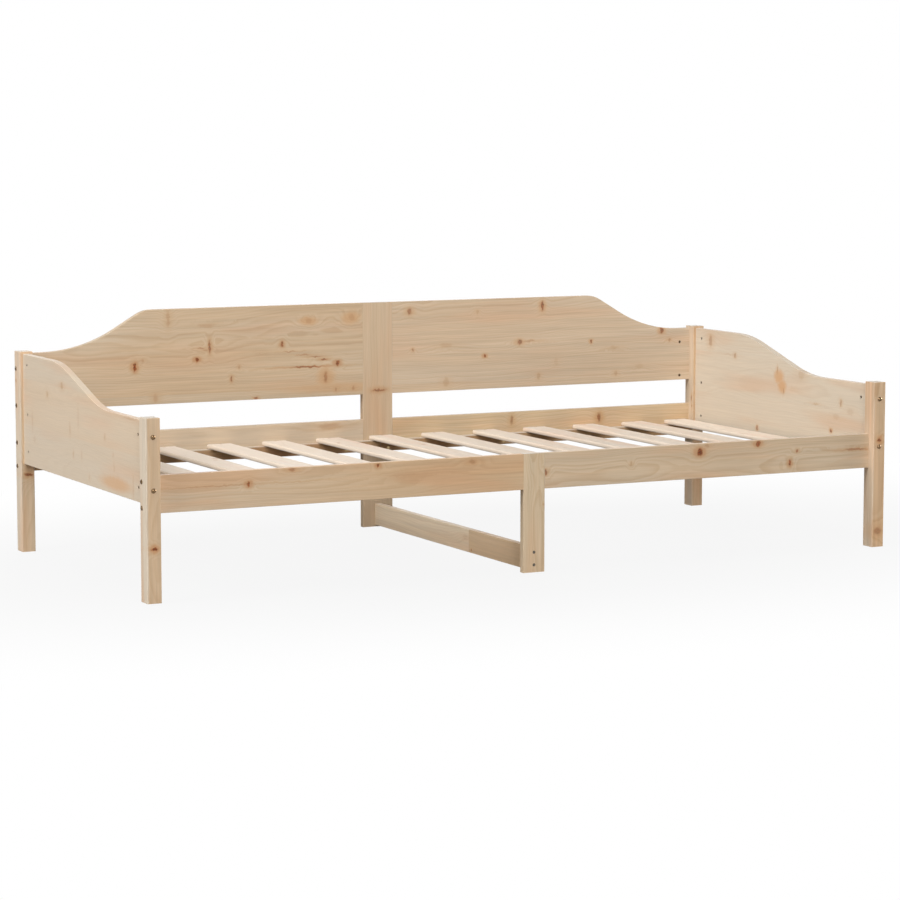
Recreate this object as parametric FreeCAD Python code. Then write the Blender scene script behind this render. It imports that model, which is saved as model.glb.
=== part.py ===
import FreeCAD, Part
import math
import os

os.makedirs("parts", exist_ok=True)
V = FreeCAD.Vector

# Single daybed frame in solid pine, all lengths in millimetres.
# X runs along the bed, Y from front to back, Z up from the floor.

# Mattress and the play around it
mattress_length = 2000.0
mattress_width = 900.0
length_play = 4.0
width_play = 2.0

# Corner posts
post_width = 36.0
post_depth = 42.0
front_post_rise = 9.0
rear_post_rise = 6.0
post_ease = 1.6

# Boards shared by rails, panels and centre uprights
board_thickness = 18.0
board_ease = 1.2
front_rail_setback = 22.0
back_panel_setback = 2.0

# Rails
rail_bottom = 210.0
rail_height = 90.0

# Back panels
back_gap = 70.0
back_panel_crest_height = 253.0
back_panel_end_height = 150.0
shoulder_level_end = 37.0
shoulder_angle = 30.5
shoulder_top_radius = 80.0
shoulder_foot_radius = 390.0

# End panels
end_panel_bottom = 232.0
end_panel_rear_height = 288.0
end_panel_front_height = 197.0
swoop_offset = 10.0
swoop_angle = 16.7
swoop_radius = 450.0

# Centre uprights and the floor stretcher between them
rear_centre_width = 90.0
front_leg_width = 60.0
stretcher_thickness = 18.0
stretcher_height = 60.0
stretcher_lift = 5.0

# Slat battens
batten_thickness = 20.0
batten_height = 30.0
batten_lift = 3.0
batten_end_play = 2.0
batten_meeting_gap = 1.0

# Slats
slat_count = 13
slat_width = 72.0
slat_thickness = 12.0
slat_end_margin = 11.0
last_slat_crowding = 17.2
slat_end_play = 1.0
slat_ease = 5.0

# Connector bolts with hexagon sockets and their barrel nuts
bolt_diameter = 5.0
bolt_play = 0.5
bolt_head_diameter = 12.0
bolt_head_height = 3.0
bolt_dome_rise = 2.2
bolt_socket = 4.0
bolt_socket_depth = 2.0
bolt_tip = 6.0
nut_diameter = 8.0
nut_length = 14.0
nut_inset = 32.0
nut_play = 0.1
thread_play = 0.1

# Heights of the bolts above the lower edge of the piece they pull in
rail_bolt_inset = 14.0
back_panel_bolt_low = 13.0
back_panel_bolt_high = 110.0
end_panel_bolt_low = 35.0
end_panel_bolt_middle = 132.0
end_panel_bolt_front = 161.0
end_panel_bolt_rear = 260.0

# Dowels in the centre joints
dowel_diameter = 8.0
dowel_length = 30.0
dowel_play = 0.1
rail_dowel_inset = 24.0
panel_dowel_inset = 45.0

# Wood screws
screw_diameter = 4.0
screw_head_diameter = 8.0
screw_play = 0.1
screw_point = 4.0
slat_screw_length = 25.0
batten_screw_length = 34.0
stretcher_screw_length = 55.0
batten_screw_count = 4
batten_screw_end = 60.0
batten_screw_lift = 8.0
stretcher_screw_spacing = 32.0

# Places that follow from the sizes above
half_inside = (mattress_length + length_play) / 2
half_length = half_inside + post_width
inside_depth = mattress_width + width_play
bed_depth = front_rail_setback + inside_depth + 2 * board_thickness + back_panel_setback
front_face = -bed_depth / 2
rear_face = bed_depth / 2
front_post_back = front_face + post_depth
rear_post_front = rear_face - post_depth
front_rail_front = front_face + front_rail_setback
front_rail_back = front_rail_front + board_thickness
back_panel_back = rear_face - back_panel_setback
back_panel_front = back_panel_back - board_thickness
front_rail_middle = (front_rail_front + front_rail_back) / 2
back_panel_middle = (back_panel_front + back_panel_back) / 2
post_middle = half_inside + post_width / 2
rail_top = rail_bottom + rail_height
back_panel_bottom = rail_top + back_gap
back_panel_crest = back_panel_bottom + back_panel_crest_height
back_panel_end = back_panel_bottom + back_panel_end_height
end_panel_front_top = end_panel_bottom + end_panel_front_height
end_panel_rear_top = end_panel_bottom + end_panel_rear_height
front_post_height = end_panel_front_top + front_post_rise
rear_post_height = end_panel_rear_top + rear_post_rise
batten_bottom = rail_bottom + batten_lift
batten_top = batten_bottom + batten_height
deck_top = batten_top + slat_thickness
bolt_hole = bolt_diameter + bolt_play
shank_hole = screw_diameter + 2 * screw_play
head_cone = (screw_head_diameter - screw_diameter) / 2

front_lengthwise_heights = [rail_bottom + rail_bolt_inset, rail_top - rail_bolt_inset]
rear_lengthwise_heights = front_lengthwise_heights + [
    back_panel_bottom + back_panel_bolt_low,
    back_panel_bottom + back_panel_bolt_high,
]
front_crosswise_heights = [
    end_panel_bottom + end_panel_bolt_low,
    end_panel_bottom + end_panel_bolt_front,
]
rear_crosswise_heights = [
    end_panel_bottom + end_panel_bolt_low,
    end_panel_bottom + end_panel_bolt_middle,
    end_panel_bottom + end_panel_bolt_rear,
]
rail_dowel_heights = [rail_bottom + rail_dowel_inset, rail_top - rail_dowel_inset]
panel_dowel_heights = [
    back_panel_bottom + panel_dowel_inset,
    back_panel_crest - panel_dowel_inset,
]

X_AXIS = V(1, 0, 0)
Y_AXIS = V(0, 1, 0)
Z_AXIS = V(0, 0, 1)


def save(name, shape):
    shape.exportStep("parts/" + name + ".step")


def block(x0, x1, y0, y1, z0, z1):
    return Part.makeBox(x1 - x0, y1 - y0, z1 - z0, V(x0, y0, z0))


def rod(start, direction, diameter, length):
    return Part.makeCylinder(diameter / 2, length, start, direction)


def edges_along(shape, axis):
    found = []
    for edge in shape.Edges:
        span = edge.Vertexes[-1].Point.sub(edge.Vertexes[0].Point)
        if span.Length > 1e-6 and abs(abs(span.dot(axis)) / span.Length - 1) < 1e-6:
            found.append(edge)
    return found


def eased_board(shape, axis, ease):
    return shape.makeFillet(ease, edges_along(shape, axis))


def cut_all(shape, tools):
    for tool in tools:
        shape = shape.cut(tool)
    return shape


def corner_post(side, y0, y1, height):
    inner = side * half_inside
    outer = side * half_length
    post = block(min(inner, outer), max(inner, outer), y0, y1, 0, height)
    edges = []
    for edge in post.Edges:
        if max(vertex.Point.z for vertex in edge.Vertexes) > height / 2:
            edges.append(edge)
    return post.makeFillet(post_ease, edges)


def outline_board(points, thickness_axis, thickness):
    edges = []
    for kind, path in points:
        if kind == "line":
            edges.append(Part.makeLine(path[0], path[1]))
        else:
            edges.append(Part.Arc(path[0], path[1], path[2]).toShape())
    face = Part.Face(Part.Wire(Part.__sortEdges__(edges)))
    return face.extrude(thickness_axis * thickness)


def ease_long_edges(shape, thickness_axis, run_axis, low_limit, high_limit, ease):
    # Edges on the two broad faces are rounded, the butting end edges stay crisp
    chosen = []
    for edge in shape.Edges:
        first = edge.Vertexes[0].Point
        last = edge.Vertexes[-1].Point
        across = abs(last.sub(first).dot(thickness_axis))
        run_first = first.dot(run_axis)
        run_last = last.dot(run_axis)
        at_low = abs(run_first - low_limit) < 1e-6 and abs(run_last - low_limit) < 1e-6
        at_high = abs(run_first - high_limit) < 1e-6 and abs(run_last - high_limit) < 1e-6
        if across < 1e-6 and not at_low and not at_high:
            chosen.append(edge)
    return shape.makeFillet(ease, chosen)


def end_panel(side):
    # Swept top edge: low flat at the front, two arcs on a slope, high flat at the back
    angle = math.radians(swoop_angle)
    rise = end_panel_rear_top - end_panel_front_top
    middle = (end_panel_rear_top + end_panel_front_top) / 2
    half_run = (rise - 2 * swoop_radius * (1 - math.cos(angle))) / (2 * math.tan(angle))
    half_rise = half_run * math.tan(angle)
    arc_run = swoop_radius * math.sin(angle)
    mid_run = swoop_radius * math.sin(angle / 2)
    mid_drop = swoop_radius * (1 - math.cos(angle / 2))
    x0 = side * post_middle - board_thickness / 2
    low_flat = swoop_offset - half_run - arc_run
    high_flat = swoop_offset + half_run + arc_run

    def at(y, z):
        return V(x0, y, z)

    a = at(front_post_back, end_panel_bottom)
    b = at(rear_post_front, end_panel_bottom)
    c = at(rear_post_front, end_panel_rear_top)
    d = at(high_flat, end_panel_rear_top)
    d_mid = at(high_flat - mid_run, end_panel_rear_top - mid_drop)
    e = at(swoop_offset + half_run, middle + half_rise)
    f = at(swoop_offset - half_run, middle - half_rise)
    g_mid = at(low_flat + mid_run, end_panel_front_top + mid_drop)
    g = at(low_flat, end_panel_front_top)
    h = at(front_post_back, end_panel_front_top)
    outline = [
        ("line", (a, b)),
        ("line", (b, c)),
        ("line", (c, d)),
        ("arc", (d, d_mid, e)),
        ("line", (e, f)),
        ("arc", (f, g_mid, g)),
        ("line", (g, h)),
        ("line", (h, a)),
    ]
    panel = outline_board(outline, X_AXIS, board_thickness)
    return ease_long_edges(panel, X_AXIS, Y_AXIS, front_post_back, rear_post_front, board_ease)


def back_panel(side):
    # Level crest in the middle of the bed, sloping shoulder, low end at the post
    angle = math.radians(shoulder_angle)
    drop = back_panel_crest - back_panel_end
    top_tangent = shoulder_top_radius * math.tan(angle / 2)
    foot_tangent = shoulder_foot_radius * math.tan(angle / 2)
    foot_end = half_inside - shoulder_level_end
    foot_corner = foot_end - foot_tangent
    crest_corner = foot_corner - drop / math.tan(angle)

    def at(x, z):
        return V(side * x, back_panel_front, z)

    crest_end = crest_corner - top_tangent
    slope_start = crest_corner + top_tangent * math.cos(angle)
    slope_end = foot_corner - foot_tangent * math.cos(angle)
    top_mid_x = crest_end + shoulder_top_radius * math.sin(angle / 2)
    top_mid_z = back_panel_crest - shoulder_top_radius * (1 - math.cos(angle / 2))
    foot_mid_x = foot_end - shoulder_foot_radius * math.sin(angle / 2)
    foot_mid_z = back_panel_end + shoulder_foot_radius * (1 - math.cos(angle / 2))
    a = at(rear_centre_width / 2, back_panel_bottom)
    b = at(half_inside, back_panel_bottom)
    c = at(half_inside, back_panel_end)
    d = at(foot_end, back_panel_end)
    d_mid = at(foot_mid_x, foot_mid_z)
    e = at(slope_end, back_panel_end + foot_tangent * math.sin(angle))
    f = at(slope_start, back_panel_crest - top_tangent * math.sin(angle))
    f_mid = at(top_mid_x, top_mid_z)
    g = at(crest_end, back_panel_crest)
    h = at(rear_centre_width / 2, back_panel_crest)
    outline = [
        ("line", (a, b)),
        ("line", (b, c)),
        ("line", (c, d)),
        ("arc", (d, d_mid, e)),
        ("line", (e, f)),
        ("arc", (f, f_mid, g)),
        ("line", (g, h)),
        ("line", (h, a)),
    ]
    panel = outline_board(outline, Y_AXIS, board_thickness)
    ends = (side * rear_centre_width / 2, side * half_inside)
    return ease_long_edges(panel, Y_AXIS, X_AXIS, ends[0], ends[1], board_ease)


def rail(side, start, y0):
    inner = side * start
    outer = side * half_inside
    board = block(min(inner, outer), max(inner, outer), y0, y0 + board_thickness, rail_bottom, rail_top)
    return eased_board(board, X_AXIS, board_ease)


def bolt(head_seat, direction, length):
    # Domed round head with a hexagon socket, plain shank
    top = head_seat - direction * bolt_head_height
    dome_radius = (bolt_head_diameter**2 / 4 + bolt_dome_rise**2) / (2 * bolt_dome_rise)
    dome = Part.makeSphere(dome_radius, top + direction * dome_radius, direction)
    head = rod(head_seat, direction * -1, bolt_head_diameter, bolt_head_height).common(dome)
    side = Z_AXIS.cross(direction)
    reach = bolt_socket / math.sqrt(3)
    corners = []
    for step in range(7):
        turn = math.radians(60 * step)
        corners.append(top + side * (reach * math.cos(turn)) + Z_AXIS * (reach * math.sin(turn)))
    socket = Part.Face(Part.makePolygon(corners)).extrude(direction * bolt_socket_depth)
    shank = rod(head_seat, direction, bolt_diameter, length)
    return head.cut(socket).fuse(shank).removeSplitter()


def barrel_nut(centre, axis, bolt_axis):
    # Short steel cylinder lying across the board, bored for the bolt, slotted at one end
    start = centre - axis * (nut_length / 2)
    nut = rod(start, axis, nut_diameter, nut_length)
    bore_start = centre - bolt_axis * nut_diameter
    bore = rod(bore_start, bolt_axis, bolt_diameter + 2 * thread_play, 2 * nut_diameter)
    slot_width = nut_diameter * 0.16
    slot_depth = nut_length * 0.1
    cross = axis.cross(bolt_axis)
    reach = axis * slot_depth + bolt_axis * slot_width + cross * (nut_diameter * 2)
    corner = start - bolt_axis * (slot_width / 2) - cross * nut_diameter
    far = corner + reach
    low = V(min(corner.x, far.x), min(corner.y, far.y), min(corner.z, far.z))
    slot = Part.makeBox(abs(reach.x), abs(reach.y), abs(reach.z), low)
    return nut.cut(bore).cut(slot)


def wood_screw(head_top, direction, length):
    # Countersunk screw with a cross recess and a pointed end
    cone = Part.makeCone(screw_head_diameter / 2, screw_diameter / 2, head_cone, head_top, direction)
    shank_length = length - head_cone - screw_point
    shank = rod(head_top + direction * head_cone, direction, screw_diameter, shank_length)
    tip_start = head_top + direction * (length - screw_point)
    tip = Part.makeCone(screw_diameter / 2, screw_diameter / 8, screw_point, tip_start, direction)
    body = cone.fuse(shank).fuse(tip).removeSplitter()
    arm = screw_head_diameter * 0.28
    half_arm = screw_head_diameter * 0.06
    depth = head_cone * 0.7
    for first, second in ((arm, half_arm), (half_arm, arm)):
        if abs(direction.z) > 0.5:
            size = V(first, second, depth)
        else:
            size = V(first, depth, second)
        recess = block(-size.x, size.x, -size.y, size.y, -size.z, size.z)
        recess.translate(head_top)
        body = body.cut(recess)
    return body


def screw_holes(head_top, direction, length):
    # Room for a wood screw: countersink, shank and point
    sink_diameter = screw_head_diameter + 2 * screw_play
    sink = Part.makeCone(sink_diameter / 2, shank_hole / 2, head_cone, head_top, direction)
    shank = rod(head_top, direction, shank_hole, length + screw_play)
    return sink.fuse(shank)


# Bolts and barrel nuts at the corner posts
lengthwise_bolts = []
lengthwise_nuts = []
crosswise_bolts = []
crosswise_nuts = []
post_holes = {}
board_holes = {}


def add_holes(store, key, tools):
    store.setdefault(key, []).extend(tools)


lengthwise_length = post_width + nut_inset + bolt_tip
crosswise_length = post_depth + nut_inset + bolt_tip
nut_room = (board_thickness + nut_length) / 2

for side, side_name in ((-1, "left"), (1, "right")):
    inward = X_AXIS * -side
    for row_name, y, heights in (
        ("front", front_rail_middle, front_lengthwise_heights),
        ("rear", back_panel_middle, rear_lengthwise_heights),
    ):
        for height in heights:
            # Nuts go in from the rear face of a rail and from the front face of a back panel
            if height > rail_top:
                board = "back_panel_" + side_name
                nut_axis = Y_AXIS
            elif row_name == "rear":
                board = "back_rail_" + side_name
                nut_axis = Y_AXIS * -1
            else:
                board = "front_rail_" + side_name
                nut_axis = Y_AXIS * -1
            seat = V(side * half_length, y, height)
            nut_centre = V(side * (half_inside - nut_inset), y, height)
            lengthwise_bolts.append(bolt(seat, inward, lengthwise_length))
            lengthwise_nuts.append(barrel_nut(nut_centre, nut_axis, X_AXIS))
            hole = rod(seat, inward, bolt_hole, lengthwise_length + bolt_play)
            mouth = nut_centre - nut_axis * (board_thickness / 2)
            pocket = rod(mouth, nut_axis, nut_diameter + 2 * nut_play, nut_room)
            add_holes(post_holes, row_name + side_name, [hole])
            add_holes(board_holes, board, [hole, pocket])
    for row_name, face, direction, heights in (
        ("front", front_face, Y_AXIS, front_crosswise_heights),
        ("rear", rear_face, Y_AXIS * -1, rear_crosswise_heights),
    ):
        for height in heights:
            seat = V(side * post_middle, face, height)
            nut_centre = seat + direction * (post_depth + nut_inset)
            crosswise_bolts.append(bolt(seat, direction, crosswise_length))
            crosswise_nuts.append(barrel_nut(nut_centre, X_AXIS, Y_AXIS))
            hole = rod(seat, direction, bolt_hole, crosswise_length + bolt_play)
            mouth = nut_centre - X_AXIS * (board_thickness / 2)
            pocket = rod(mouth, X_AXIS, nut_diameter + 2 * nut_play, nut_room)
            add_holes(post_holes, row_name + side_name, [hole])
            add_holes(board_holes, "end_panel_" + side_name, [hole, pocket])

# Dowels between the centre uprights and the boards that butt against them
dowels = []
upright_holes = {"rear": [], "front": []}
for side, side_name in ((-1, "left"), (1, "right")):
    for upright, half_width, y, board, heights in (
        ("front", front_leg_width / 2, front_rail_middle, "front_rail_", rail_dowel_heights),
        ("rear", rear_centre_width / 2, back_panel_middle, "back_rail_", rail_dowel_heights),
        ("rear", rear_centre_width / 2, back_panel_middle, "back_panel_", panel_dowel_heights),
    ):
        for height in heights:
            start = V(side * half_width - dowel_length / 2, y, height)
            dowels.append(rod(start, X_AXIS, dowel_diameter, dowel_length))
            room = start - X_AXIS * dowel_play
            hole = rod(room, X_AXIS, dowel_diameter + 2 * dowel_play, dowel_length + 2 * dowel_play)
            add_holes(board_holes, board + side_name, [hole])
            upright_holes[upright].append(hole)

# Battens and the screws that hold them to the rails and the centre uprights
batten_screws = []
batten_holes = {}
batten_reach = half_inside - batten_end_play
rail_screw_span = batten_reach - batten_screw_end - rear_centre_width / 2 - batten_screw_end
batten_screw_height = batten_bottom + batten_screw_lift
for side, side_name in ((-1, "left"), (1, "right")):
    for row, face, direction, board, half_width in (
        ("front", front_rail_back + batten_thickness, Y_AXIS * -1, "front_rail_", front_leg_width / 2),
        ("rear", back_panel_front - batten_thickness, Y_AXIS, "back_rail_", rear_centre_width / 2),
    ):
        places = [half_width / 2]
        for step in range(batten_screw_count):
            share = step / (batten_screw_count - 1)
            places.append(rear_centre_width / 2 + batten_screw_end + rail_screw_span * share)
        for number, place in enumerate(places):
            top = V(side * place, face, batten_screw_height)
            batten_screws.append(wood_screw(top, direction, batten_screw_length))
            hole = screw_holes(top, direction, batten_screw_length)
            add_holes(batten_holes, row + side_name, [hole])
            if number == 0:
                upright_holes[row].append(hole)
            else:
                add_holes(board_holes, board + side_name, [hole])

# Slats with one screw at each end
slat_screws = []
slat_left_edges = []
first_left = -half_inside + slat_end_margin
slat_run = 2 * (half_inside - slat_end_margin) - slat_width
slat_pitch = (slat_run + last_slat_crowding) / (slat_count - 1)
for number in range(slat_count - 1):
    slat_left_edges.append(first_left + number * slat_pitch)
slat_left_edges.append(half_inside - slat_end_margin - slat_width)
slat_front = front_rail_back + slat_end_play
slat_rear = back_panel_front - slat_end_play
slat_holes = []
for left in slat_left_edges:
    middle = left + slat_width / 2
    holes = []
    for row, y in (
        ("front", front_rail_back + batten_thickness / 2),
        ("rear", back_panel_front - batten_thickness / 2),
    ):
        top = V(middle, y, deck_top)
        slat_screws.append(wood_screw(top, Z_AXIS * -1, slat_screw_length))
        hole = screw_holes(top, Z_AXIS * -1, slat_screw_length)
        holes.append(hole)
        for side_name in ("left", "right"):
            add_holes(batten_holes, row + side_name, [hole])
    slat_holes.append(holes)

# Screws through the centre uprights into the ends of the floor stretcher
stretcher_middle = stretcher_lift + stretcher_height / 2
front_stretcher_screws = []
rear_stretcher_screws = []
stretcher_holes = []
for offset in (-stretcher_screw_spacing / 2, stretcher_screw_spacing / 2):
    front_top = V(0, front_rail_front, stretcher_middle + offset)
    rear_top = V(0, back_panel_back, stretcher_middle + offset)
    front_stretcher_screws.append(wood_screw(front_top, Y_AXIS, stretcher_screw_length))
    rear_stretcher_screws.append(wood_screw(rear_top, Y_AXIS * -1, stretcher_screw_length))
    front_hole = screw_holes(front_top, Y_AXIS, stretcher_screw_length)
    rear_hole = screw_holes(rear_top, Y_AXIS * -1, stretcher_screw_length)
    stretcher_holes.extend([front_hole, rear_hole])
    upright_holes["front"].append(front_hole)
    upright_holes["rear"].append(rear_hole)

# Corner posts
for side, side_name in ((-1, "left"), (1, "right")):
    front_post = corner_post(side, front_face, front_post_back, front_post_height)
    rear_post = corner_post(side, rear_post_front, rear_face, rear_post_height)
    save("post_front_" + side_name, cut_all(front_post, post_holes["front" + side_name]))
    save("post_rear_" + side_name, cut_all(rear_post, post_holes["rear" + side_name]))

# End panels, back panels and rails
for side, side_name in ((-1, "left"), (1, "right")):
    save("end_panel_" + side_name, cut_all(end_panel(side), board_holes["end_panel_" + side_name]))
    save("back_panel_" + side_name, cut_all(back_panel(side), board_holes["back_panel_" + side_name]))
    front_rail = rail(side, front_leg_width / 2, front_rail_front)
    back_rail = rail(side, rear_centre_width / 2, back_panel_front)
    save("front_rail_" + side_name, cut_all(front_rail, board_holes["front_rail_" + side_name]))
    save("back_rail_" + side_name, cut_all(back_rail, board_holes["back_rail_" + side_name]))

# Centre uprights
half_rear = rear_centre_width / 2
rear_upright = block(-half_rear, half_rear, back_panel_front, back_panel_back, 0, back_panel_crest)
save("post_rear_centre", cut_all(eased_board(rear_upright, Z_AXIS, board_ease), upright_holes["rear"]))
half_leg = front_leg_width / 2
front_leg = block(-half_leg, half_leg, front_rail_front, front_rail_back, 0, rail_top)
save("leg_front_centre", cut_all(eased_board(front_leg, Z_AXIS, board_ease), upright_holes["front"]))

# Floor stretcher
half_stretcher = stretcher_thickness / 2
stretcher_top = stretcher_lift + stretcher_height
stretcher = block(
    -half_stretcher, half_stretcher, front_rail_back, back_panel_front, stretcher_lift, stretcher_top
)
save("floor_stretcher", cut_all(eased_board(stretcher, Y_AXIS, board_ease), stretcher_holes))

# Slat battens
for side, side_name in ((-1, "left"), (1, "right")):
    inner = side * batten_meeting_gap / 2
    outer = side * batten_reach
    low = min(inner, outer)
    high = max(inner, outer)
    for row, y0 in (
        ("front", front_rail_back),
        ("rear", back_panel_front - batten_thickness),
    ):
        strip = block(low, high, y0, y0 + batten_thickness, batten_bottom, batten_top)
        strip = eased_board(strip, X_AXIS, board_ease)
        save("slat_batten_" + row + "_" + side_name, cut_all(strip, batten_holes[row + side_name]))

# Slats
for number, left in enumerate(slat_left_edges):
    slat = block(left, left + slat_width, slat_front, slat_rear, batten_top, deck_top)
    slat = eased_board(slat, Y_AXIS, slat_ease)
    save("slat_%02d" % (number + 1), cut_all(slat, slat_holes[number]))

# Fasteners, alike ones kept together
save("post_bolts_lengthwise", Part.makeCompound(lengthwise_bolts))
save("post_bolts_crosswise", Part.makeCompound(crosswise_bolts))
save("barrel_nuts_lengthwise", Part.makeCompound(lengthwise_nuts))
save("barrel_nuts_crosswise", Part.makeCompound(crosswise_nuts))
save("centre_dowels", Part.makeCompound(dowels))
save("batten_screws", Part.makeCompound(batten_screws))
save("slat_screws", Part.makeCompound(slat_screws))
save("stretcher_screws_front", Part.makeCompound(front_stretcher_screws))
save("stretcher_screws_rear", Part.makeCompound(rear_stretcher_screws))
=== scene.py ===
"""Looks of the pine daybed frame: wood, metal, floor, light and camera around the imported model."""

import math
import random

import bpy
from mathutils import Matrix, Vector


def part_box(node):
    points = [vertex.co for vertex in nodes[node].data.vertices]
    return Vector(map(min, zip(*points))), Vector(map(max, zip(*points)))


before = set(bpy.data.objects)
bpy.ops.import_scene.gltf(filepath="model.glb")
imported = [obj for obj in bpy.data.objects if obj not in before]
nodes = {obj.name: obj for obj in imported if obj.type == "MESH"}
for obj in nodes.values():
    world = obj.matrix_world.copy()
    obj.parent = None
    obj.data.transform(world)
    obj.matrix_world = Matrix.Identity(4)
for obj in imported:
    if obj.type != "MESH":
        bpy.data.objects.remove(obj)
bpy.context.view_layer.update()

MM = 0.001
WHITE = (1.0, 1.0, 1.0, 1.0)
NOISE_MIDDLE = (0.5, 0.5, 0.5)


def srgb(red, green, blue):
    """A display colour from 0 to 255 as linear RGBA."""

    def linear(c):
        c /= 255
        return c / 12.92 if c <= 0.04045 else ((c + 0.055) / 1.055) ** 2.4

    return (linear(red), linear(green), linear(blue), 1.0)


class Tree:
    """Adds nodes to one shader tree and wires them."""

    def __init__(self, tree):
        self.tree = tree

    def put(self, socket, value):
        if isinstance(value, bpy.types.NodeSocket):
            self.tree.links.new(value, socket)
        else:
            socket.default_value = value

    def add(self, kind, inputs, **settings):
        node = self.tree.nodes.new(kind)
        for key, value in settings.items():
            setattr(node, key, value)
        for key, value in inputs.items():
            self.put(node.inputs[key], value)
        return node

    def group(self, tree, inputs):
        return self.add("ShaderNodeGroup", inputs, node_tree=tree).outputs

    def math(self, operation, a, b=0.0, c=0.0):
        return self.add("ShaderNodeMath", {0: a, 1: b, 2: c}, operation=operation).outputs[0]

    def vector(self, operation, a, b=(0.0, 0.0, 0.0)):
        node = self.add("ShaderNodeVectorMath", {0: a, 1: b}, operation=operation)
        return node.outputs["Value" if operation in ("LENGTH", "DOT_PRODUCT") else "Vector"]

    def combine(self, x, y, z):
        return self.add("ShaderNodeCombineXYZ", {0: x, 1: y, 2: z}).outputs[0]

    def separate(self, vector):
        return self.add("ShaderNodeSeparateXYZ", {0: vector}).outputs

    def place(self):
        return self.add("ShaderNodeTexCoord", {}).outputs["Object"]

    def normal(self):
        return self.add("ShaderNodeNewGeometry", {}).outputs["Normal"]

    def ease(self, value, start, end, low=0.0, high=1.0):
        """A smooth step from low at start to high at end."""
        inputs = {"Value": value, "From Min": start, "From Max": end, "To Min": low, "To Max": high}
        node = self.add("ShaderNodeMapRange", inputs, interpolation_type="SMOOTHSTEP")
        return node.outputs["Result"]

    def mix(self, factor, a, b, blend="MIX"):
        inputs = {0: factor, 6: a, 7: b}
        node = self.add("ShaderNodeMix", inputs, data_type="RGBA", blend_type=blend)
        return node.outputs[2]

    def noise(self, vector, scale, detail=2.0, roughness=0.5):
        inputs = {"Vector": vector, "Scale": scale, "Detail": detail, "Roughness": roughness}
        return self.add("ShaderNodeTexNoise", inputs).outputs

    def stretched(self, vector, along, across):
        """Noise drawn out along the grain, with this many features a metre each way."""
        return self.noise(self.vector("MULTIPLY", vector, (along, across, across)), 1.0)[0]

    def sway(self, vector, scale, size):
        """A smooth random offset of up to half the size on each axis."""
        offset = self.vector("SUBTRACT", self.noise(vector, scale)[1], NOISE_MIDDLE)
        return self.vector("MULTIPLY", offset, size)

    def bump(self, shader, strength, distance, height):
        inputs = {"Strength": strength, "Distance": distance, "Height": height}
        self.put(shader.inputs["Normal"], self.add("ShaderNodeBump", inputs).outputs[0])


def new_group(name, inputs, outputs):
    """An empty node group with its sockets, and the sockets inside it."""
    tree = bpy.data.node_groups.new(name, "ShaderNodeTree")
    for socket, kind in inputs:
        tree.interface.new_socket(socket, in_out="INPUT", socket_type="NodeSocket" + kind)
    for socket, kind in outputs:
        tree.interface.new_socket(socket, in_out="OUTPUT", socket_type="NodeSocket" + kind)
    entry = tree.nodes.new("NodeGroupInput")
    leave = tree.nodes.new("NodeGroupOutput")
    return Tree(tree), entry.outputs, leave.inputs


# What a chain of knots adds up at a place: dark heart, warm rim, resin and bent grain
KNOT_STATE = ("Core", "Halo", "Stain", "Bend")
RIM_STRETCH = (1.9, 1.0, 1.0)
GRAIN_BEND = 9 * MM


def make_knot_group():
    """One branch through the board: dark heart, warm rim, and the grain that flows round it."""
    state = [(key, "Float") for key in KNOT_STATE]
    place = [("Point", "Vector"), ("Centre", "Vector"), ("Radii", "Vector")]
    amounts = [("Strength", "Float"), ("Resin", "Float")]
    t, given, out = new_group("pine_knot", place + amounts + state, state)
    offset = t.vector("SUBTRACT", given["Point"], given["Centre"])
    reach = t.vector("LENGTH", t.vector("DIVIDE", offset, given["Radii"]))
    drawn_out = t.vector("MULTIPLY", given["Radii"], RIM_STRETCH)
    rim_reach = t.vector("LENGTH", t.vector("DIVIDE", offset, drawn_out))
    glow = t.ease(rim_reach, 1.9, 0.6)
    own = {"Core": t.math("MULTIPLY", t.ease(reach, 1.15, 0.45), given["Strength"]),
           "Halo": t.math("MULTIPLY", glow, given["Strength"]),
           "Stain": t.math("MULTIPLY", glow, given["Resin"])}
    for key, value in own.items():
        t.put(out[key], t.math("MAXIMUM", value, given[key]))
    around = t.ease(rim_reach, 3.2, 0.0)
    t.put(out["Bend"], t.math("MULTIPLY_ADD", around, GRAIN_BEND, given["Bend"]))
    return t.tree


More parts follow.
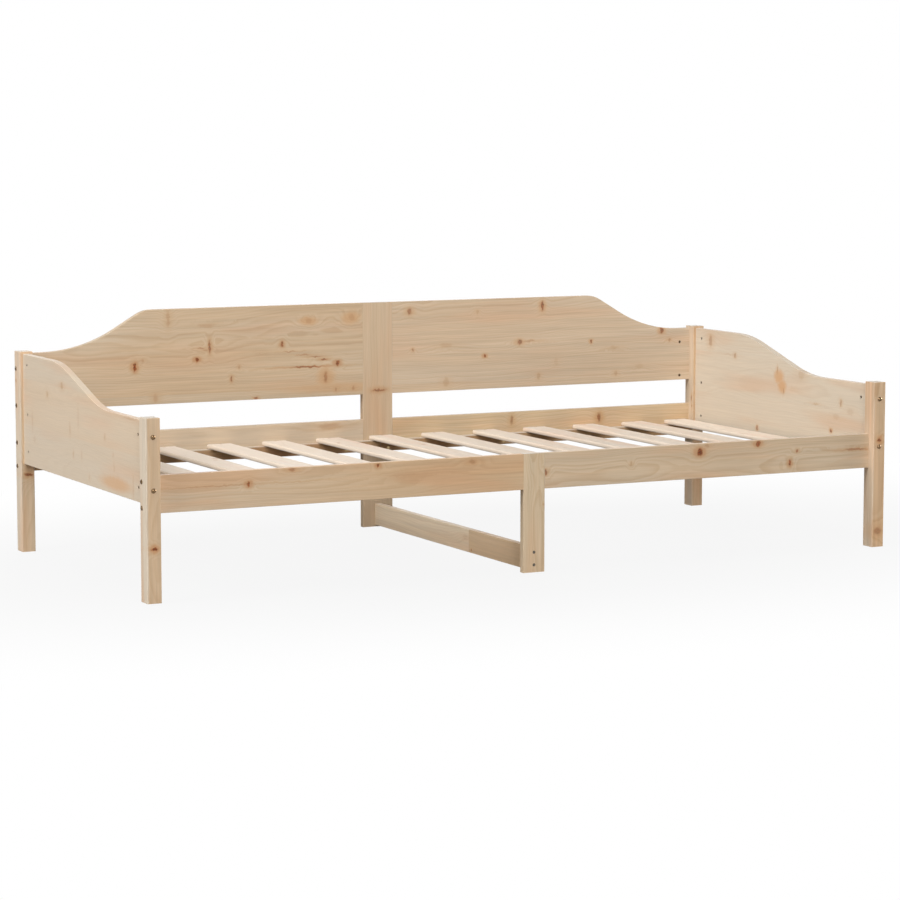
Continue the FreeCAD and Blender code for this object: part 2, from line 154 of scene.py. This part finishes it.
def make_ring_group():
    """Growth rings round a pith that wanders along the board: 1 in late wood, 0 in early wood."""
    sockets = [("Point", "Vector"), ("Seed", "Vector"), ("Pith", "Vector"), ("Bend", "Float"),
               ("Spacing", "Float")]
    t, given, out = new_group("pine_rings", sockets, [("Late", "Float")])
    seeded = t.vector("ADD", given["Point"], given["Seed"])
    slow = t.vector("MULTIPLY", seeded, (1.3, 3.0, 3.0))
    wander = t.sway(slow, 1.0, (0.0, 0.07, 0.07))
    wavy = t.vector("MULTIPLY", seeded, (9.0, 24.0, 24.0))
    ripple = t.sway(wavy, 1.0, (0.0, 0.006, 0.006))
    local = t.vector("SUBTRACT", given["Point"], given["Pith"])
    local = t.vector("ADD", t.vector("ADD", local, wander), ripple)
    radius = t.vector("LENGTH", t.vector("MULTIPLY", local, (0.0, 1.0, 1.0)))
    radius = t.math("ADD", radius, given["Bend"])
    years = t.math("DIVIDE", radius, given["Spacing"])
    uneven = t.combine(t.math("MULTIPLY", years, 0.35), given["Spacing"], 0.0)
    years = t.math("MULTIPLY_ADD", t.noise(uneven, 1.0, 1.0)[0], 2.2, years)
    season = t.math("FRACT", years)
    late = t.math("MULTIPLY", t.ease(season, 0.25, 0.86), t.ease(season, 1.0, 0.88))
    year = t.add("ShaderNodeTexWhiteNoise", {"W": t.math("FLOOR", years)}, noise_dimensions="1D")
    strength = t.math("MULTIPLY_ADD", year.outputs["Value"], 0.65, 0.35)
    t.put(out["Late"], t.math("MULTIPLY", late, strength))
    return t.tree


KNOT = make_knot_group()
RINGS = make_ring_group()

EARLY_WOOD = srgb(206, 183, 153)
LATE_WOOD = srgb(182, 147, 109)
HEART_WOOD = srgb(199, 167, 130)
PALE_PATCH = srgb(211, 193, 167)
PEACH_PATCH = srgb(207, 168, 132)
# Paler wood: sapwood on some boards, painted light on the lit faces of others
SAPWOOD_AND_PAINTED_LIGHT = srgb(208, 194, 174)
END_GRAIN = srgb(190, 181, 167)
KNOT_RIM = srgb(188, 136, 90)
KNOT_HAZE = srgb(194, 155, 113)
RESIN = srgb(198, 150, 102)
KNOT_BLUSH = srgb(164, 120, 78)
KNOT_RED = srgb(152, 76, 36)
KNOT_DARK = srgb(86, 42, 24)
# Painted highlight colour for the rounded edges of the boards
PAINTED_ARRIS_HIGHLIGHT = srgb(220, 206, 184)

# How far each of these colours can cover the wood below it
STAVE_SHARE = 0.45
JOINTED_SHARE = 0.8
PATCH_SHARE = 0.6
LATE_SHARE = 0.4
END_GRAIN_SHARE = 0.8
RESIN_SHARE = 0.8
RIM_SHARE = 0.7
HEART_SHARE = 0.9
ARRIS_HIGHLIGHT_SHARE = 0.1

# Features a metre, along and across the grain
BROAD = (1.1, 11.0)
BLUSH = (2.2, 15.0)
STREAKS = (3.5, 110.0)
FIBRES = (14.0, 900.0)

# Tints that one board's wood is multiplied by. Some are painted light and shade: the tints of the end panels,
# the stretcher and the slats are paler, and the battens' tint darker, to stand in for how light falls on them.
PLAIN = (1.0, 1.0, 1.0)
WARM = (0.98, 0.94, 0.92)
COOL = (0.96, 0.99, 1.04)
DUSKY = (1.03, 0.98, 0.94)
RUDDY = (0.94, 0.88, 0.82)
LIGHT = (1.1, 1.1, 1.12)
COOL_LIGHT = (1.0, 1.04, 1.07)
BACK_BOARD = (1.01, 1.07, 1.18)
FRESH = (1.05, 1.07, 1.06)
# Painted light: a cooler, paler tone for the end panels, standing in for the whiter light on their faces
END_PANEL_PAINTED_LIGHT = (1.0, 1.08, 1.22)
SUNLESS = (0.9, 0.94, 1.0)
DIM = (0.91, 0.92, 0.95)
# Painted light and shade: a paler stretcher and paler slats, darker battens
STRETCHER_PAINTED_LIGHT = (1.22, 1.32, 1.45)
SLAT_PAINTED_LIGHT = (1.22, 1.37, 1.68)
BATTEN_PAINTED_SHADE = (0.74, 0.62, 0.5)

KNOT_SWELL = 1.2
THROUGH = 50.0  # a knot's radius, in metres, on the axis that it runs along through the board
SEED_SPREAD = 20  # boards take their noise from places this many metres apart
STAVE_OFFSET = 0.31  # where the first glue line lies, in stave widths
WOOD_EDGE = 2.4 * MM
METAL_EDGE = 0.5 * MM


def tinted(colour, tint):
    return tuple(c * f for c, f in zip(colour[:3], tint)) + (1.0,)


def new_material(name):
    """A material with its Principled shader wired to the output, and the tree helper."""
    material = bpy.data.materials.new(name)
    material.use_nodes = True
    material.node_tree.nodes.clear()
    t = Tree(material.node_tree)
    shader = t.add("ShaderNodeBsdfPrincipled", {})
    output = t.add("ShaderNodeOutputMaterial", {})
    t.put(output.inputs["Surface"], shader.outputs[0])
    return material, t, shader


def dress(node, material):
    """Puts one material on the whole of a CAD node."""
    slots = nodes[node].data.materials
    if not slots:
        slots.append(material)
    for index in range(len(slots)):
        slots[index] = material


def edge_mask(t, radius):
    """1 on the arrises, 0 on the flats."""
    rounded = t.add("ShaderNodeBevel", {"Radius": radius}, samples=4).outputs[0]
    return t.ease(t.vector("DOT_PRODUCT", rounded, t.normal()), 0.99, 0.86)


def cut_staves(t, centred, middle, shift, width, joint):
    """Glued strips with a grain of their own: the place in a strip, its noise seed and its tone."""
    u, v, w = t.separate(centred)
    row_place = t.math("MULTIPLY_ADD", v, 1 / (width * MM), STAVE_OFFSET)
    row = t.math("FLOOR", row_place)
    half = 0.0 if joint is None else t.math("GREATER_THAN", u, joint * MM - middle)
    rolled = t.add("ShaderNodeTexWhiteNoise", {"Vector": t.combine(row, half, shift[1])},
                   noise_dimensions="3D").outputs
    tone = rolled["Value"] if joint is None else t.math("SUBTRACT", 1.0, half)
    seed = t.vector("ADD", t.vector("MULTIPLY", rolled["Color"], (9.0, 9.0, 9.0)), shift)
    nudge = t.vector("SUBTRACT", rolled["Color"], NOISE_MIDDLE)
    nudge = t.vector("MULTIPLY", nudge, (0.0, 0.12, 0.03))
    across = t.math("MULTIPLY", t.math("SUBTRACT", t.math("FRACT", row_place), 0.5), width * MM)
    return t.vector("ADD", t.combine(u, across, w), nudge), seed, tone


def grow_knots(t, place, grain, knots):
    """Chains a board's knots, with ragged outlines, and gives the sums in the order of KNOT_STATE."""
    point = t.vector("ADD", place, t.sway(place, 85.0, (0.011, 0.009, 0.0)))
    state = dict.fromkeys(KNOT_STATE, 0.0)
    for x, y, z, long, wide, strength in knots:
        spot = dict(zip("XYZ", (x, y, z)))
        centre = tuple((spot[a] or 0.0) * MM for a in grain)
        sizes = [size * MM * KNOT_SWELL for size in (long, wide, wide)]
        radii = tuple(THROUGH if spot[a] is None else s for a, s in zip(grain, sizes))
        sums = t.group(KNOT, {"Point": point, "Centre": centre, "Radii": radii, **state,
                              "Strength": max(strength, 0.0), "Resin": max(-strength, 0.0)})
        state = {key: sums[key] for key in KNOT_STATE}
    return state.values()


def pine(node, grain, seed, pith=(25, -70), spacing=4.2, tint=PLAIN, warmth=0.5, contrast=1.0,
         knots=(), stave=None, sapwood_and_lit_side=None):
    """Gives a node its own piece of pine. Lengths are in mm.

    grain lists the axes along, across and through the piece. stave is the width of its glued strips and
    the place of an end joint or None. The last argument is an axis, where paler wood starts on it and where it
    is
    full: sapwood on some boards, painted light on the lit side or top of others.
    """
    low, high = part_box(node)
    middle = tuple((low["XYZ".index(a)] + high["XYZ".index(a)]) / 2 for a in grain)
    dice = random.Random(seed)
    shift = tuple(dice.uniform(-SEED_SPREAD, SEED_SPREAD) for _ in range(3))
    material, t, shader = new_material("pine_" + node)
    xyz = t.separate(t.place())
    place = t.combine(*(xyz[a] for a in grain))
    centred, noise_seed = t.vector("SUBTRACT", place, middle), shift
    jointed = stave is not None and stave[1] is not None
    if stave:
        centred, noise_seed, tone = cut_staves(t, centred, middle[0], shift, *stave)
    core, halo, stain, bend = grow_knots(t, place, grain, knots)
    late = t.group(RINGS, {"Point": centred, "Seed": noise_seed, "Bend": bend, "Spacing": spacing * MM,
                           "Pith": (0.0, pith[0] * MM, pith[1] * MM)})["Late"]

    # Ground colour, from the largest patches to the rings
    seeded = t.vector("ADD", centred, noise_seed)
    broad = t.stretched(seeded, *BROAD)
    warm = t.ease(broad, 0.38, 0.7, 0.0, warmth)
    colour = t.mix(warm, tinted(EARLY_WOOD, tint), tinted(HEART_WOOD, tint))
    if jointed:
        colour = t.mix(t.math("MULTIPLY", tone, JOINTED_SHARE), colour, HEART_WOOD)
    elif stave:
        colour = t.mix(t.math("MULTIPLY", tone, STAVE_SHARE), colour, tinted(HEART_WOOD, tint))
    # Paler towards one side: sapwood on some boards, painted light on the lit faces of the posts, the right
    # end panel and the tops of the battens
    if sapwood_and_lit_side:
        axis, inner, outer = sapwood_and_lit_side
        colour = t.mix(t.ease(xyz[axis], inner * MM, outer * MM), colour, SAPWOOD_AND_PAINTED_LIGHT)
    pale = t.ease(broad, 0.42, 0.2, 0.0, PATCH_SHARE)
    colour = t.mix(pale, colour, tinted(PALE_PATCH, tint))
    blush = t.stretched(t.vector("ADD", seeded, (7.0, 3.0, 5.0)), *BLUSH)
    colour = t.mix(t.ease(blush, 0.48, 0.72, 0.0, PATCH_SHARE), colour, tinted(PEACH_PATCH, tint))
    colour = t.mix(t.math("MULTIPLY", late, LATE_SHARE * contrast), colour, tinted(LATE_WOOD, tint))
    along = t.separate(t.normal())[grain[0]]
    sawn_end = t.ease(t.math("ABSOLUTE", along), 0.8, 0.95, 0.0, END_GRAIN_SHARE)
    colour = t.mix(sawn_end, colour, END_GRAIN)

    # Light and dark streaks over it
    streaks = t.stretched(seeded, *STREAKS)
    fibres = t.stretched(seeded, *FIBRES)
    grey = t.ease(streaks, 0.25, 0.75, 1.0 - 0.09 * contrast, 1.0 + 0.05 * contrast)
    grey = t.math("MULTIPLY", grey, t.ease(fibres, 0.3, 0.7, 0.96, 1.03))
    if stave and not jointed:
        grey = t.math("MULTIPLY", grey, t.math("MULTIPLY_ADD", tone, 0.08, 0.95))
    colour = t.mix(1.0, colour, t.combine(grey, grey, grey), "MULTIPLY")
    relief = t.math("MULTIPLY_ADD", late, 0.5, t.math("MULTIPLY", fibres, 0.8))

    if knots:
        flecks = t.noise(place, 260.0)[0]
        rim = t.mix(t.ease(halo, 0.4, 0.9), tinted(KNOT_HAZE, tint), tinted(KNOT_RIM, tint))
        colour = t.mix(t.math("MULTIPLY", stain, RESIN_SHARE), colour, RESIN)
        colour = t.mix(t.math("MULTIPLY", halo, RIM_SHARE), colour, rim)
        heart = t.mix(t.ease(flecks, 0.35, 0.65), KNOT_DARK, KNOT_RED)
        heart = t.mix(t.ease(core, 0.3, 0.75), KNOT_BLUSH, heart)
        colour = t.mix(t.math("MULTIPLY", core, HEART_SHARE), colour, heart)
        relief = t.math("MULTIPLY_ADD", core, 0.7, relief)

    # Painted highlight: a pale line along the rounded edges of the board
    painted_edge_highlight = t.math("MULTIPLY", edge_mask(t, WOOD_EDGE), ARRIS_HIGHLIGHT_SHARE)
    t.put(shader.inputs["Base Color"], t.mix(painted_edge_highlight, colour, tinted(PAINTED_ARRIS_HIGHLIGHT, tint)))
    t.put(shader.inputs["Roughness"], t.ease(streaks, 0.2, 0.8, 0.62, 0.8))
    shader.inputs["Specular IOR Level"].default_value = 0.16
    shader.inputs["Sheen Weight"].default_value = 0.3
    shader.inputs["Sheen Roughness"].default_value = 0.35
    t.bump(shader, 0.35, 0.5 * MM, relief)
    dress(node, material)


def metal(name, dull, bright, rough, members):
    """Plated steel with a mottled finish, fine scratches and bare metal along its edges."""
    material, t, shader = new_material(name)
    place = t.place()
    mottle = t.noise(place, 420.0, 4.0, 0.6)[0]
    scratch = t.noise(t.vector("MULTIPLY", place, (2600.0, 500.0, 900.0)), 1.0, 3.0)[0]
    colour = t.mix(t.ease(mottle, 0.35, 0.68), dull, bright)
    bare = t.math("MULTIPLY", edge_mask(t, METAL_EDGE), 0.55)
    t.put(shader.inputs["Base Color"], t.mix(bare, colour, tinted(bright, (1.6, 1.6, 1.6))))
    t.put(shader.inputs["Roughness"], t.ease(scratch, 0.25, 0.75, rough - 0.08, rough + 0.1))
    shader.inputs["Metallic"].default_value = 1.0
    t.bump(shader, 0.2, 0.1 * MM, scratch)
    for node in members:
        dress(node, material)


# Boards with the knots that the photograph shows. A knot is its place in mm, with None on the axis through
# the board, its half sizes along and across the grain, and its strength. Below 0 it is a resin stain. Two wide
# marks low on the rear posts are painted shade, not knots.
LENGTHWAYS, CROSSWAYS, UPRIGHT, DECK = "XZY", "YZX", "ZXY", "YXZ"

pine("back_panel_left", LENGTHWAYS, 11, pith=(-30, -95), spacing=5.2, tint=SUNLESS, stave=(333, None),
     sapwood_and_lit_side=("X", -600, -1400), knots=[
    (-712, None, 471, 5, 12, 1.0), (-690, None, 490, 4, 4, 0.35), (-534, None, 485, 5, 7, 1.0),
    (-498, None, 518, 3, 19, 0.7), (-435, None, 429, 3, 9, 0.7), (-414, None, 459, 3, 6, 0.45),
    (-287, None, 518, 4, 9, 0.8), (-262, None, 497, 20, 1.5, 0.5), (-222, None, 486, 22, 1.5, 0.5),
    (-185, None, 480, 16, 2, 0.6), (-162, None, 472, 10, 3, 0.7), (-121, None, 460, 6, 8, 0.9),
    (-212, None, 453, 50, 2.6, 0.75), (-157, None, 423, 6, 15, 0.6), (-157, None, 424, 9, 19, -0.5),
    (-209, None, 578, 9, 8, -0.6), (-207, None, 578, 8, 7, 0.35), (-81, None, 583, 9, 11, -0.6),
    (-78, None, 585, 8, 9, 0.35), (-365, None, 374, 5, 4, 0.7), (-654, None, 386, 7, 10, 0.35),
    (-126, None, 388, 4, 6, 0.5), (-73, None, 389, 4, 7, 0.5), (-616, None, 597, 5, 22, 0.35),
    (-523, None, 515, 10, 2, 0.5), (-510, None, 510, 8, 2, 0.4), (-507, None, 576, 24, 5, 0.3),
    (-110, None, 392, 60, 8, -0.45), (-349, None, 495, 30, 14, 0.06)])
pine("back_panel_right", LENGTHWAYS, 12, pith=(40, -100), spacing=5.0, tint=BACK_BOARD, stave=(333, None),
     knots=[
    (98, None, 595, 7, 10, 0.65), (516, None, 598, 5, 14, 0.8), (444, None, 498, 8, 8, 0.7),
    (475, None, 500, 20, 3, 0.4), (333, None, 463, 4, 6, 0.9), (108, None, 488, 3, 4, 0.6),
    (674, None, 492, 3, 6, 0.8), (909, None, 516, 6, 10, 0.8), (935, None, 488, 4, 5, 0.5),
    (211, None, 394, 8, 12, 0.3), (505, None, 398, 5, 9, 0.35), (757, None, 397, 5, 8, 0.35),
    (211, None, 497, 20, 7, 0.25), (309, None, 587, 4, 6, 0.3), (561, None, 437, 6, 12, 0.15),
    (835, None, 415, 14, 6, 0.2), (753, None, 472, 14, 4, 0.25)])
pine("back_rail_left", LENGTHWAYS, 13, pith=(20, -60), spacing=4.4, tint=BACK_BOARD, warmth=0.4,
     contrast=0.7, knots=[
    (-145, None, 286, 36, 9, 0.4), (-620, None, 240, 6, 8, 0.7)])
pine("back_rail_right", LENGTHWAYS, 14, pith=(-25, -55), spacing=4.4, tint=FRESH, warmth=0.65, knots=[
    (419, None, 278, 5, 14, 0.6), (702, None, 271, 7, 14, 0.75)])
pine("front_rail_left", LENGTHWAYS, 15, pith=(35, -60), spacing=4.6, tint=RUDDY, contrast=0.7,
     sapwood_and_lit_side=("X", -100, -2000), knots=[
    (-771, None, 266, 5, 7, 0.9), (-658, None, 295, 9, 5, 0.6), (-431, None, 292, 4, 5, 0.9),
    (-173, None, 289, 10, 6, 0.5), (-360, None, 266, 40, 9, 0.1), (-850, None, 266, 110, 1.5, 0.4)])
pine("front_rail_right", LENGTHWAYS, 16, pith=(-30, -65), spacing=4.4, tint=COOL, warmth=0.4, knots=[
    (33, None, 251, 4, 8, 0.7), (482, None, 278, 8, 11, 1.0), (658, None, 291, 7, 8, 0.9),
    (756, None, 236, 4, 9, 0.9), (778, None, 266, 4, 5, 0.7), (279, None, 259, 3, 6, 0.4),
    (962, None, 261, 38, 3.5, 0.6), (503, None, 294, 6, 4, 0.4)])
pine("end_panel_left", CROSSWAYS, 17, pith=(10, 80), spacing=5.0, tint=END_PANEL_PAINTED_LIGHT, warmth=0.35, contrast=0.3,
     stave=(118, None), knots=[
    (None, 248, 431, 6, 8, 0.4), (None, 134, 462, 9, 9, 0.4), (None, -250, 258, 35, 11, -0.8),
    (None, 369, 351, 3, 22, 0.22), (None, 354, 306, 8, 8, 0.15), (None, 77, 358, 3, 16, 0.3),
    (None, 15, 393, 3, 26, 0.2), (None, -177, 363, 4, 8, 0.3), (None, 53, 298, 3, 9, 0.35),
    (None, -8, 301, 3, 12, 0.2), (None, -233, 325, 4, 6, 0.2), (None, -240, 297, 3, 12, 0.2),
    (None, -63, 252, 4, 8, 0.25), (None, -370, 262, 3, 26, 0.25), (None, -350, 424, 40, 2, 0.3)])
# The paler inner face of the right end panel is painted light
pine("end_panel_right", CROSSWAYS, 18, pith=(-20, -80), spacing=5.0, tint=END_PANEL_PAINTED_LIGHT, warmth=0.4, contrast=0.4,
     stave=(118, None), sapwood_and_lit_side=("X", 1027, 1014), knots=[
    (None, 224, 456, 5, 7, 0.5), (None, 357, 490, 9, 18, 0.5), (None, 2, 432, 2, 11, 0.55),
    (None, -6, 415, 8, 13, -0.9), (None, -22, 390, 7, 12, -0.9), (None, -31, 377, 2.5, 8, 0.55),
    (None, -118, 431, 14, 16, 0.25), (None, 103, 261, 4, 7, 0.8), (None, -267, 289, 4, 6, 0.8),
    (None, -313, 368, 4, 10, 0.5), (None, -291, 330, 16, 8, 0.2), (None, -358, 349, 16, 10, 0.2),
    (None, -192, 355, 14, 3, 0.35), (None, -32, 475, 10, 4, 0.9), (None, 260, 457, 30, 2, 0.2)])
# On the four corner posts the paler side is painted light: their faces towards the left, where the key light
# falls, are made paler
pine("post_front_left", UPRIGHT, 19, pith=(14, 60), spacing=3.8, tint=WARM, sapwood_and_lit_side=("X", -1032, -1037), knots=[
    (-1019, None, 129, 4, 10, 1.0)])
pine("post_front_right", UPRIGHT, 20, pith=(-8, 40), spacing=3.8, tint=DUSKY, warmth=0.6, contrast=1.5,
     sapwood_and_lit_side=("X", 1008, 999), knots=[
    (1021, None, 284, 5, 8, 0.9), (1020, None, 42, 10, 14, 0.6)])
# The wide mark at 220 mm low on its front is painted shade, the dark just under the end panel
pine("post_rear_left", UPRIGHT, 21, pith=(10, 60), spacing=3.8, tint=LIGHT, sapwood_and_lit_side=("X", -1032, -1037), knots=[
    (None, 472, 449, 4, 5, 0.5), (-1018, None, 203, 4, 12, 0.85), (-1014, None, 220, 12, 14, 0.45)])
# The warm tint and the long mark at 110 mm low on its front are painted shade: the red-brown of the leg in the
# shade under the deck
pine("post_rear_right", UPRIGHT, 22, pith=(-12, 50), spacing=3.8, tint=WARM, warmth=0.7,
     sapwood_and_lit_side=("X", 1008, 997), knots=[
    (None, 446, 316, 9, 3, 0.6), (None, 443, 292, 5, 2, 0.6), (None, 455, 120, 5, 8, 0.5),
    (1022, None, 110, 40, 9, 0.3)])
pine("post_rear_centre", UPRIGHT, 23, pith=(-70, -30), spacing=4.4, tint=DIM, warmth=0.3, contrast=0.6, knots=[
    (5, None, 380, 4, 22, 0.7)])
pine("leg_front_centre", UPRIGHT, 24, pith=(6, -35), spacing=4.4, tint=COOL_LIGHT, warmth=0.35, knots=[
    (28, None, 170, 3, 4, 0.4), (17, None, 292, 9, 7, 0.05), (2, None, 232, 12, 8, 0.05)])
# The stretcher's paler tint is painted light: it stands in for light under the deck
pine("floor_stretcher", CROSSWAYS, 25, pith=(0, 55), spacing=4.2, tint=STRETCHER_PAINTED_LIGHT, stave=(400, -115), knots=[
    (None, -130, 13, 2, 5, 0.9), (None, -95, 42, 14, 8, 0.2)])

# Battens: darker than pine as painted shade under the slats, with a paler top as painted light
BATTEN_SEED = 30
for index, side in enumerate(("front_left", "front_right", "rear_left", "rear_right")):
    node = "slat_batten_" + side
    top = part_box(node)[1].z / MM
    pine(node, LENGTHWAYS, BATTEN_SEED + index, pith=(10, -40), spacing=3.6, tint=BATTEN_PAINTED_SHADE,
         sapwood_and_lit_side=("Z", top - 3, top - 1))

# Slats: paler boards, the paleness painted light on their tops, some with a small knot or two
SLATS = 13
SLAT_SEED = 40
SLAT_KNOT_SEED = 100
SLAT_LENGTH_SPREAD, SLAT_WIDTH_SPREAD = 380, 26
for number in range(1, SLATS + 1):
    node = f"slat_{number:02d}"
    low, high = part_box(node)
    dice = random.Random(SLAT_KNOT_SEED + number)
    slat_knots = []
    for _ in range(dice.choice((0, 1, 1, 2))):
        across = (low.x + high.x) / 2 / MM + dice.uniform(-SLAT_WIDTH_SPREAD, SLAT_WIDTH_SPREAD)
        slat_knots.append((across, dice.uniform(-SLAT_LENGTH_SPREAD, SLAT_LENGTH_SPREAD), None,
                           dice.uniform(3, 6), dice.uniform(4, 8), dice.uniform(0.25, 0.6)))
    slat_pith = (dice.uniform(-30, 30), -60)
    slat_tint = tinted(SLAT_PAINTED_LIGHT, [dice.uniform(0.97, 1.03)] * 3)
    pine(node, DECK, SLAT_SEED + number, pith=slat_pith, spacing=4.0, tint=slat_tint, warmth=0.15,
         contrast=0.35, knots=slat_knots)

pine("centre_dowels", LENGTHWAYS, 60, spacing=1.2)
# The brown of these two steels is partly bronze and yellow zinc plating and partly painted reflection of the
# wood around them
metal("bronze_and_wood_reflection", srgb(72, 55, 40), srgb(144, 118, 88), 0.25,
      ("post_bolts_lengthwise", "post_bolts_crosswise"))
metal("yellow_zinc_and_wood_reflection", srgb(72, 56, 42), srgb(124, 104, 82), 0.38,
      ("barrel_nuts_lengthwise", "barrel_nuts_crosswise"))
metal("dark_screw_steel", srgb(62, 56, 50), srgb(112, 104, 94), 0.42,
      ("stretcher_screws_front", "stretcher_screws_rear"))
metal("yellow_screw_steel", srgb(158, 134, 98), srgb(202, 178, 136), 0.36,
      ("batten_screws", "slat_screws"))

FLOOR_LEVEL = -0.5 * MM
FLOOR_HALF = 14.0
FLOOR_DARK, FLOOR_PALE = srgb(104, 103, 102), srgb(112, 111, 110)
FLOOR_WHITE_SHARE = 0.9  # of what is seen under the bed; all of it farther out
SURROUND_LIGHT = 0.1


def view_only(t):
    """1 for what the camera, a reflection or glass sees, 0 for the light that falls on things."""
    path = t.add("ShaderNodeLightPath", {}).outputs
    seen = t.math("MAXIMUM", path["Is Camera Ray"], path["Is Glossy Ray"])
    return t.math("MAXIMUM", seen, path["Is Transmission Ray"])


def make_world():
    """An even pale surround: white where it is seen, softer as light."""
    world = bpy.data.worlds.new("studio")
    bpy.context.scene.world = world
    world.use_nodes = True
    world.node_tree.nodes.clear()
    t = Tree(world.node_tree)
    background = t.add("ShaderNodeBackground", {"Color": WHITE})
    t.put(background.inputs["Strength"], t.ease(view_only(t), 0.0, 1.0, SURROUND_LIGHT, 1.0))
    output = t.add("ShaderNodeOutputWorld", {})
    t.put(output.inputs["Surface"], background.outputs[0])


def make_floor():
    """A wide pale floor that keeps the soft shadow near the bed and runs out to white."""
    mesh = bpy.data.meshes.new("floor")
    turns = ((-1, -1), (1, -1), (1, 1), (-1, 1))
    corners = [(x * FLOOR_HALF, y * FLOOR_HALF, FLOOR_LEVEL) for x, y in turns]
    mesh.from_pydata(corners, [], [(0, 1, 2, 3)])
    floor = bpy.data.objects.new("floor", mesh)
    bpy.context.scene.collection.objects.link(floor)
    material, t, shader = new_material("pale_floor")
    place = t.place()
    speckle = t.noise(place, 40.0, 3.0)[0]
    t.put(shader.inputs["Base Color"], t.mix(speckle, FLOOR_DARK, FLOOR_PALE))
    shader.inputs["Roughness"].default_value = 0.9
    white = t.add("ShaderNodeEmission", {"Color": WHITE, "Strength": 1.0})
    reach = t.vector("LENGTH", t.vector("MULTIPLY", place, (0.75, 1.2, 0.0)))
    share = t.ease(reach, 0.6, 2.0, FLOOR_WHITE_SHARE, 1.0)
    cover = t.math("MULTIPLY", share, view_only(t))
    blend = t.add("ShaderNodeMixShader", {0: cover, 1: shader.outputs[0], 2: white.outputs[0]})
    output = next(n for n in t.tree.nodes if n.bl_idname == "ShaderNodeOutputMaterial")
    t.put(output.inputs["Surface"], blend.outputs[0])
    mesh.materials.append(material)


def softbox(name, place, target, width, height, watts):
    """A large flat lamp that looks from place to target."""
    lamp = bpy.data.lights.new(name, "AREA")
    lamp.shape = "RECTANGLE"
    lamp.size = width
    lamp.size_y = height
    lamp.energy = watts
    holder = bpy.data.objects.new(name, lamp)
    holder.location = place
    aim = [b - a for a, b in zip(place, target)]
    flat = math.hypot(aim[0], aim[1])
    holder.rotation_euler = (math.atan2(flat, -aim[2]), 0.0, math.atan2(-aim[0], aim[1]))
    bpy.context.scene.collection.objects.link(holder)


make_world()
make_floor()
DECK_MIDDLE = (0.0, 0.0, 0.3)
BED_MIDDLE = (0.0, 0.0, 0.4)
softbox("top_light", (-1.0, -0.8, 6.5), DECK_MIDDLE, 4.0, 4.0, 105.0)
softbox("left_light", (-9.5, -1.2, 6.8), BED_MIDDLE, 5.0, 5.0, 1085.0)
softbox("left_low_light", (-12.0, -1.2, 1.2), BED_MIDDLE, 5.0, 2.0, 116.0)
softbox("front_light", (-2.0, -12.0, 4.5), BED_MIDDLE, 5.0, 5.0, 672.0)
softbox("front_low_light", (-2.0, -12.0, 1.0), BED_MIDDLE, 5.0, 2.0, 276.0)
# Low, so that it lights the back but does not glare on the top edges
softbox("rear_fill", (4.0, 13.0, 0.5), BED_MIDDLE, 6.0, 0.9, 1100.0)
softbox("right_fill", (14.0, -2.0, 2.0), BED_MIDDLE, 6.0, 3.0, 1250.0)

# The photograph's view: the camera stands to the left of the front, a little above the bed.
IMAGE_SIDE = 900.0
FOCAL_PIXELS = 2968.0
SENSOR = 36.0
CAMERA_PLACE = (-3.4693, -6.9445, 1.1574)
CAMERA_DIP = 0.11495
CAMERA_TURN = -0.46259
camera = bpy.data.cameras.new("camera")
camera.sensor_width = SENSOR
camera.lens = FOCAL_PIXELS / IMAGE_SIDE * SENSOR
camera.clip_end = 100.0
viewer = bpy.data.objects.new("camera", camera)
viewer.location = CAMERA_PLACE
viewer.rotation_euler = (math.pi / 2 - CAMERA_DIP, 0.0, CAMERA_TURN)
bpy.context.scene.collection.objects.link(viewer)
bpy.context.scene.camera = viewer
bpy.context.scene.view_settings.view_transform = "Standard"
